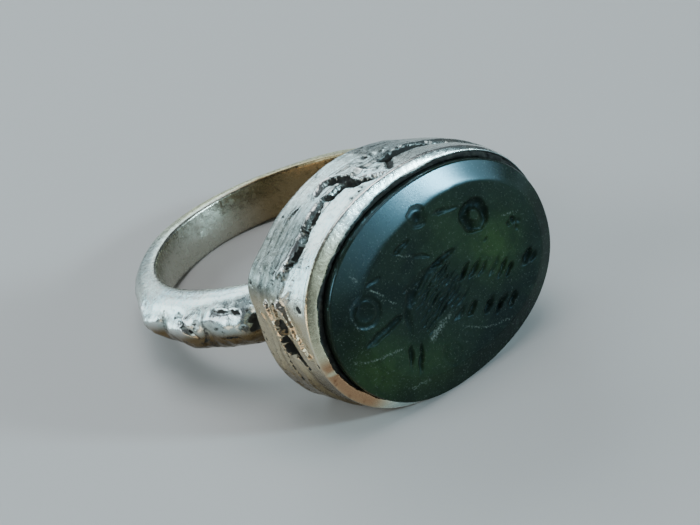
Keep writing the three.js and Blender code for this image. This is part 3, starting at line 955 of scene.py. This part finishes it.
# Whitish scuffs and scratches on the face: start, end, half width and strength.
SCUFFS = [
    ((-8.0, -2.05), (-6.9, -2.5), 0.16, 0.5),
    ((-6.9, -2.5), (-4.5, -2.9), 0.14, 0.6),
    ((-2.1, -3.45), (-1.1, -3.0), 0.34, 0.75),
    ((-1.1, -3.0), (-0.15, -2.7), 0.22, 0.6),
    ((-5.98, 3.43), (-5.66, 2.9), 0.12, 0.8),
    ((-5.1, 1.95), (-4.35, 1.1), 0.1, 0.8),
    ((-4.35, 0.75), (-3.7, 0.1), 0.09, 0.6),
    ((-7.1, 1.0), (-6.9, -0.1), 0.09, 0.5),
    ((-6.9, -0.1), (-5.9, -0.4), 0.09, 0.5),
    ((0.4, -3.95), (2.1, -5.0), 0.08, 0.5),
    ((2.1, -5.0), (4.1, -5.4), 0.1, 0.5),
    ((-4.75, -5.8), (-3.4, -5.9), 0.2, 0.5),
    ((-2.3, 3.0), (-1.4, 2.4), 0.14, 0.5),
    ((6.2, 1.3), (7.4, 0.9), 0.12, 0.4),
]
# Where light shows through the stone: place, radius and strength.
GLOWS = [(4.9, -0.1, 2.1, 1.0), (-6.6, -3.4, 2.4, 0.8), (1.6, 2.6, 2.2, 0.35), (-2.5, -4.9, 1.8, 0.5)]


def bevel_width(degrees):
    """The bevel is broad beside the near shoulder and narrow at the far end."""
    return BEVEL_WIDTH + BEVEL_VARIES * np.cos(np.radians(degrees - BEVEL_BROADEST_AT))


# The stone's side: height from the bezel's front, and how much narrower the stone is there
STONE_SIDE = [
    (STONE_GAP - SEAT_DEPTH, SEAT_TAPER), (-0.8, 0.25), (-0.3, 0),
    (0.1, 0), (GIRDLE - 0.12, 0), (GIRDLE - 0.03, 0.03),
]
# How softly the bevel turns into the table
BEVEL_SOFTNESS = 0.025


def build_stone():
    """The engraved stone: rows from its foot up the girdle, then in over the face to its middle."""
    degrees = np.linspace(0, 360, STONE_STEPS + 1)[:-1]
    rows = []
    for n, narrow in STONE_SIDE:
        rows.append(stone_point(BEZEL_FRONT + n, degrees, 1.0, narrow))
    side_rows = len(rows)
    face_shares = np.linspace(0.992, 0.012, STONE_ROWS)
    for share in face_shares:
        rows.append(stone_point(BEZEL_FRONT + GIRDLE, degrees, share))
    points, faces = closed_rows(rows)
    face = np.arange(len(points)) >= side_rows * STONE_STEPS
    all_degrees = np.tile(degrees, len(rows))
    shares = np.concatenate([np.ones(side_rows), face_shares])
    outline = np.linalg.norm(stone_point(0.0, all_degrees)[:, 1:] - STONE_SHIFT, axis=1)
    n, t, a = points.T
    from_edge = (1 - np.repeat(shares, STONE_STEPS)) * outline
    slope = from_edge / bevel_width(all_degrees)
    rise = (slope + 1 - np.sqrt((slope - 1) ** 2 + BEVEL_SOFTNESS)) / 2
    rise -= (1 - math.sqrt(1 + BEVEL_SOFTNESS)) / 2
    depth, inside = engraved_depth(t, a)
    height = (STONE_STANDS - GIRDLE) * np.clip(rise, 0, 1) - depth
    height += 0.012 * grain(points, 2.0, 40, 2) * ramp(slope, 0.8, 1.2)
    height += 0.005 * grain(points, 0.35, 42, 2) * ramp(slope, 0.8, 1.2)
    n = n + np.where(face, height, 0)
    points = np.stack([n, t, a], axis=1)
    made = mesh_object("engraved_seal_stone", points, faces)
    mesh = made.data
    mesh.shade_smooth()
    scuff = np.zeros(len(points))
    for start, end, half_width, strength in SCUFFS:
        line = [np.append(place, half_width) for place in (start, end)]
        share, _, _ = near_line(points[:, 1:], line)
        scuff = np.maximum(scuff, strength * ramp(share, 1.3, 0))
    glow = np.zeros(len(points))
    for glow_t, glow_a, radius, strength in GLOWS:
        glow += strength * bell(np.hypot(t - glow_t, a - glow_a), radius)
    table = ramp(slope, 0.85, 1.1) * face
    set_attributes(
        mesh,
        cut=inside * face,
        table=table,
        polish=(1 - table) * ramp(np.abs(turned(all_degrees, 92)), 88, 50),
        scuff=scuff * face,
        glow=glow,
        girdle=ramp(n, BEZEL_FRONT + 0.3, BEZEL_FRONT) * (1 - face),
    )
    lay_down(mesh)
    return made


class Shader:
    """A small helper that adds and joins the nodes of one material."""

    def __init__(self, name):
        self.material = bpy.data.materials.new(name)
        self.material.use_nodes = True
        self.tree = self.material.node_tree
        self.surface = self.tree.nodes["Principled BSDF"]

    def node(self, kind, **settings):
        made = self.tree.nodes.new(kind)
        for key, value in settings.items():
            setattr(made, key, value)
        return made

    def value(self, socket, value):
        """Joins a socket to a socket, or sets it to a plain value."""
        if isinstance(value, bpy.types.NodeSocket):
            self.tree.links.new(value, socket)
        else:
            socket.default_value = value

    def values(self, node, inputs):
        for key, value in inputs.items():
            self.value(node.inputs[key], value)

    def place(self):
        """The object's own coordinates in millimetres."""
        coordinates = self.node("ShaderNodeTexCoord").outputs["Object"]
        scaled = self.node("ShaderNodeVectorMath", operation="SCALE")
        self.values(scaled, {0: coordinates, "Scale": 1 / MM})
        return scaled.outputs["Vector"]

    def noise(self, place, size, detail=4.0, roughness=0.55, distortion=0.0):
        made = self.node("ShaderNodeTexNoise")
        self.values(made, {"Vector": place, "Scale": 1 / size, "Detail": detail})
        self.values(made, {"Roughness": roughness, "Distortion": distortion})
        return made.outputs["Fac"]

    def attribute(self, name):
        return self.node("ShaderNodeAttribute", attribute_name=name).outputs["Fac"]

    def map(self, value, low, high, to_low=0.0, to_high=1.0):
        made = self.node("ShaderNodeMapRange", interpolation_type="SMOOTHSTEP")
        self.values(made, {"Value": value, "From Min": low, "From Max": high})
        self.values(made, {"To Min": to_low, "To Max": to_high})
        return made.outputs["Result"]

    def math(self, operation, first, second=0.0, clamp=False):
        made = self.node("ShaderNodeMath", operation=operation, use_clamp=clamp)
        self.values(made, {0: first, 1: second})
        return made.outputs[0]

    def times(self, first, second):
        return self.math("MULTIPLY", first, second)

    def blend(self, share, first, second):
        made = self.node("ShaderNodeMix", data_type="RGBA")
        self.values(made, {"Factor": share, 6: first, 7: second})
        return made.outputs[2]

    def bump(self, height, distance, strength=1.0, normal=None):
        made = self.node("ShaderNodeBump")
        self.values(made, {"Strength": strength, "Distance": distance * MM, "Height": height})
        if normal is not None:
            self.value(made.inputs["Normal"], normal)
        return made.outputs["Normal"]

    def finished(self, colour, rough, normal, others):
        """The material, when its surface has these values."""
        self.values(self.surface, {"Base Color": colour, "Roughness": rough, "Normal": normal})
        self.values(self.surface, others)
        return self.material


# Colours of the silver and of what lies on it
COOL_SILVER = (0.62, 0.78, 0.78, 1)
WARM_SILVER = (0.75, 0.82, 0.76, 1)
GREY_FILM = (0.46, 0.50, 0.48, 1)
DULL_GREY = (0.135, 0.15, 0.135, 1)
DULL_DARK = (0.085, 0.09, 0.07, 1)
RUBBED_SILVER = (0.95, 0.96, 0.94, 1)
YELLOWED_SILVER = (0.76, 0.75, 0.45, 1)
BEIGE = (0.54, 0.46, 0.31, 1)
BROWN = (0.25, 0.19, 0.10, 1)
BROWN_SPOTS = (0.17, 0.12, 0.06, 1)
OLIVE_GREY = (0.54, 0.56, 0.48, 1)
# Painted warm shade for the undersides of the hoop and the wall, with darker spots
UNDERSIDE_SHADE_BROWN = (0.17, 0.12, 0.06, 1)
UNDERSIDE_SHADE_SPOTS = (0.08, 0.045, 0.02, 1)
COPPER = (0.42, 0.25, 0.14, 1)
COPPER_SPOTS = (0.18, 0.08, 0.04, 1)
BLACK_DIRT = (0.008, 0.010, 0.009, 1)
GREY_DIRT = (0.05, 0.055, 0.045, 1)


def silver_material():
    """Worn silver: bright and cool where it is clean, brown where tarnished, with painted warm shade on its
    undersides, and black in the cracks.
    """
    shader = Shader("aged_silver")
    place = shader.place()
    blend, span, noise, share = shader.blend, shader.map, shader.noise, shader.attribute
    broad = noise(place, 3.0, 3)
    fine = noise(place, 0.4, 6, 0.62)
    grit = noise(place, 0.13, 4, 0.7)
    spots = span(noise(place, 0.9, 5, 0.65), 0.56, 0.72)
    edge = shader.times(shader.math("SUBTRACT", grit, 0.5), 0.9)
    grime = span(shader.math("ADD", share("grime"), edge), 0.3, 0.62)
    worn = share("worn")
    clean = blend(span(broad, 0.35, 0.65), COOL_SILVER, WARM_SILVER)
    clean = blend(span(fine, 0.48, 0.72, 0, 0.4), clean, GREY_FILM)
    patchy = blend(span(fine, 0.38, 0.62), DULL_GREY, DULL_DARK)
    clean = blend(shader.times(share("dull"), 0.85), clean, patchy)
    clean = blend(shader.times(worn, 0.8), clean, RUBBED_SILVER)
    clean = blend(share("yellow"), clean, YELLOWED_SILVER)
    beige = shader.times(share("beige"), span(broad, 0.2, 0.6, 0.75, 1.0))
    toned = blend(beige, clean, BEIGE)
    brown = blend(spots, BROWN, BROWN_SPOTS)
    olive = blend(share("back"), brown, OLIVE_GREY)
    toned = blend(share("tarnish"), toned, olive)
    # Painted warm shade on the undersides of the hoop and the wall
    underside_shade_colour = blend(spots, UNDERSIDE_SHADE_BROWN, UNDERSIDE_SHADE_SPOTS)
    toned = blend(share("rust"), toned, underside_shade_colour)
    red = blend(spots, COPPER, COPPER_SPOTS)
    toned = blend(share("copper"), toned, red)
    soiled = shader.math("MAXIMUM", grime, share("dirt"))
    black = blend(span(fine, 0.45, 0.7), BLACK_DIRT, GREY_DIRT)
    colour = blend(soiled, toned, black)
    metallic = span(soiled, 0.1, 0.8, 1.0, 0.0)
    rough = span(fine, 0.3, 0.75, 0.17, 0.36)
    rough = shader.math("ADD", rough, shader.times(soiled, 0.5))
    rough = shader.math("SUBTRACT", rough, shader.times(worn, 0.06), True)
    normal = shader.bump(grit, 0.01, 0.8, shader.bump(fine, 0.03))
    return shader.finished(colour, rough, normal, {"Metallic": metallic})


# Colours of the stone
STONE_DARK = (0.008, 0.012, 0.009, 1)
STONE_GREEN = (0.014, 0.023, 0.014, 1)
STONE_VEINS = (0.022, 0.036, 0.028, 1)
STONE_GLOW = (0.036, 0.072, 0.020, 1)
CUT_SHADE = (0.003, 0.005, 0.003, 1)
SCRATCH = (0.22, 0.27, 0.24, 1)
SPARKLE = (0.2, 0.25, 0.22, 1)
GIRDLE_SHADE = (0.012, 0.016, 0.014, 1)
BLUISH_SHEEN = (0.42, 0.80, 1.0, 1)


def stone_material():
    """Dark green chalcedony: polished, cloudy and a little translucent."""
    shader = Shader("green_chalcedony")
    place = shader.place()
    blend, span, noise, share = shader.blend, shader.map, shader.noise, shader.attribute
    cut = share("cut")
    cloud = noise(place, 3.4, 3, 0.5, 0.4)
    veins = noise(place, 0.9, 5, 0.62, 0.8)
    grit = noise(place, 0.14, 5, 0.7)
    body = blend(span(cloud, 0.35, 0.68), STONE_DARK, STONE_GREEN)
    body = blend(span(veins, 0.5, 0.75, 0, 0.4), body, STONE_VEINS)
    glow = shader.times(share("glow"), span(veins, 0.3, 0.6, 0.6, 1.0))
    body = blend(shader.times(glow, 0.8), body, STONE_GLOW)
    body = blend(shader.times(cut, 0.75), body, CUT_SHADE)
    scratch = shader.math("ADD", share("scuff"), span(grit, 0.4, 0.7, -0.6, 0.3), True)
    colour = blend(shader.times(scratch, 0.8), body, SCRATCH)
    sparkle = shader.times(span(grit, 0.69, 0.76), share("table"))
    colour = blend(shader.times(sparkle, 0.35), colour, SPARKLE)
    colour = blend(share("girdle"), colour, GIRDLE_SHADE)
    rough = span(share("table"), 0, 1, 0.2, 0.3)
    rough = shader.math("ADD", rough, shader.times(cut, 0.2), True)
    return shader.finished(colour, rough, shader.bump(grit, 0.004, 0.6), {
        "Specular IOR Level": span(share("polish"), 0, 1, 0.12, 0.75),
        "Specular Tint": BLUISH_SHEEN,
        "IOR": 1.54,
        "Subsurface Weight": 0.15,
        "Subsurface Radius": (0.6, 1.4, 0.7),
        "Subsurface Scale": 1.2 * MM,
    })


def floor_material():
    shader = Shader("pale_floor")
    shader.values(shader.surface, {"Base Color": (0.62, 0.61, 0.6, 1), "Roughness": 0.6})
    return shader.material


FLOOR_HALF = 0.6


def build_floor():
    corners = np.array([(-1, -1, 0), (1, -1, 0), (1, 1, 0), (-1, 1, 0)])
    floor = mesh_object("floor", FLOOR_HALF * corners, [[0, 1, 2, 3]])
    floor.data.materials.append(floor_material())


# The camera, as it stood for the photograph: it looks at a point near the ring from an azimuth
# and an elevation in degrees, and is rolled a little. Lengths are in metres.
CAMERA_TARGET = Vector((-0.00094, 0.00272, 0.00141))
CAMERA_DISTANCE = 0.3539
CAMERA_AZIMUTH = 58.68
CAMERA_ELEVATION = 32.91
CAMERA_ROLL = -14.57
CAMERA_LENS = 264.3


def direction(azimuth, elevation):
    """The unit vector that points back from the ring at these angles. Azimuth 0 looks along +Y."""
    a, e = math.radians(azimuth), math.radians(elevation)
    return Vector((math.sin(a) * math.cos(e), -math.cos(a) * math.cos(e), math.sin(e)))


def build_camera():
    data = bpy.data.cameras.new("camera")
    data.lens = CAMERA_LENS
    data.sensor_width = 36
    data.clip_start = 0.01
    data.clip_end = 10
    camera = add_object("camera", data)
    back = direction(CAMERA_AZIMUTH, CAMERA_ELEVATION)
    level = back.to_track_quat("Z", "Y").to_matrix().to_4x4()
    roll = Matrix.Rotation(math.radians(CAMERA_ROLL), 4, "Z")
    camera.matrix_world = Matrix.Translation(CAMERA_TARGET + back * CAMERA_DISTANCE) @ level @ roll
    bpy.context.scene.camera = camera
    return camera


# Soft lights: azimuth and elevation, distance, width and height in metres, watts and colour
LIGHTS = {
    "left_softbox": (262, 28, 0.6, 0.5, 0.3, 1.5, (0.76, 0.92, 1.0)),
    "low_softbox": (300, 12, 0.6, 0.34, 0.2, 1.0, (0.74, 0.93, 1.0)),
    "front_softbox": (340, 34, 0.6, 0.3, 0.22, 0.9, (0.76, 0.93, 1.0)),
    "right_softbox": (128, 19, 0.6, 0.34, 0.2, 0.5, (0.72, 0.90, 1.0)),
    "middle_softbox": (106, 19, 0.6, 0.14, 0.2, 0.1, (0.72, 0.90, 1.0)),
    "side_softbox": (90, 18, 0.6, 0.2, 0.2, 0.06, (0.72, 0.90, 1.0)),
    "window": (122, 22, 0.55, 0.06, 0.07, 1.6, (0.62, 0.90, 1.0)),
    "top_softbox": (200, 80, 0.6, 0.4, 0.4, 1.3, (0.95, 0.98, 1.0)),
    "warm_fill": (15, 9, 0.5, 0.3, 0.14, 0.35, (1.0, 0.82, 0.62)),
}


def build_lights():
    """The soft lights, which face the ring, and a dim even surround."""
    for name, (azimuth, elevation, distance, width, height, watts, colour) in LIGHTS.items():
        data = bpy.data.lights.new(name, "AREA")
        data.shape = "RECTANGLE"
        data.size, data.size_y = width, height
        data.energy = watts
        data.color = colour
        light = add_object(name, data)
        towards = direction(azimuth, elevation)
        light.location = CAMERA_TARGET + towards * distance
        light.rotation_mode = "QUATERNION"
        light.rotation_quaternion = towards.to_track_quat("Z", "Y")
    world = bpy.data.worlds.new("studio")
    world.use_nodes = True
    background = world.node_tree.nodes["Background"]
    background.inputs["Color"].default_value = (0.80, 0.88, 0.95, 1)
    background.inputs["Strength"].default_value = 0.13
    bpy.context.scene.world = world


build_camera()
silver = build_silver()
silver.data.materials.clear()
silver.data.materials.append(silver_material())
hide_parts("silver_body")
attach(silver, "root")

stone = build_stone()
stone.data.materials.append(stone_material())
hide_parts("seal_stone")
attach(stone, "root")

build_floor()
build_lights()
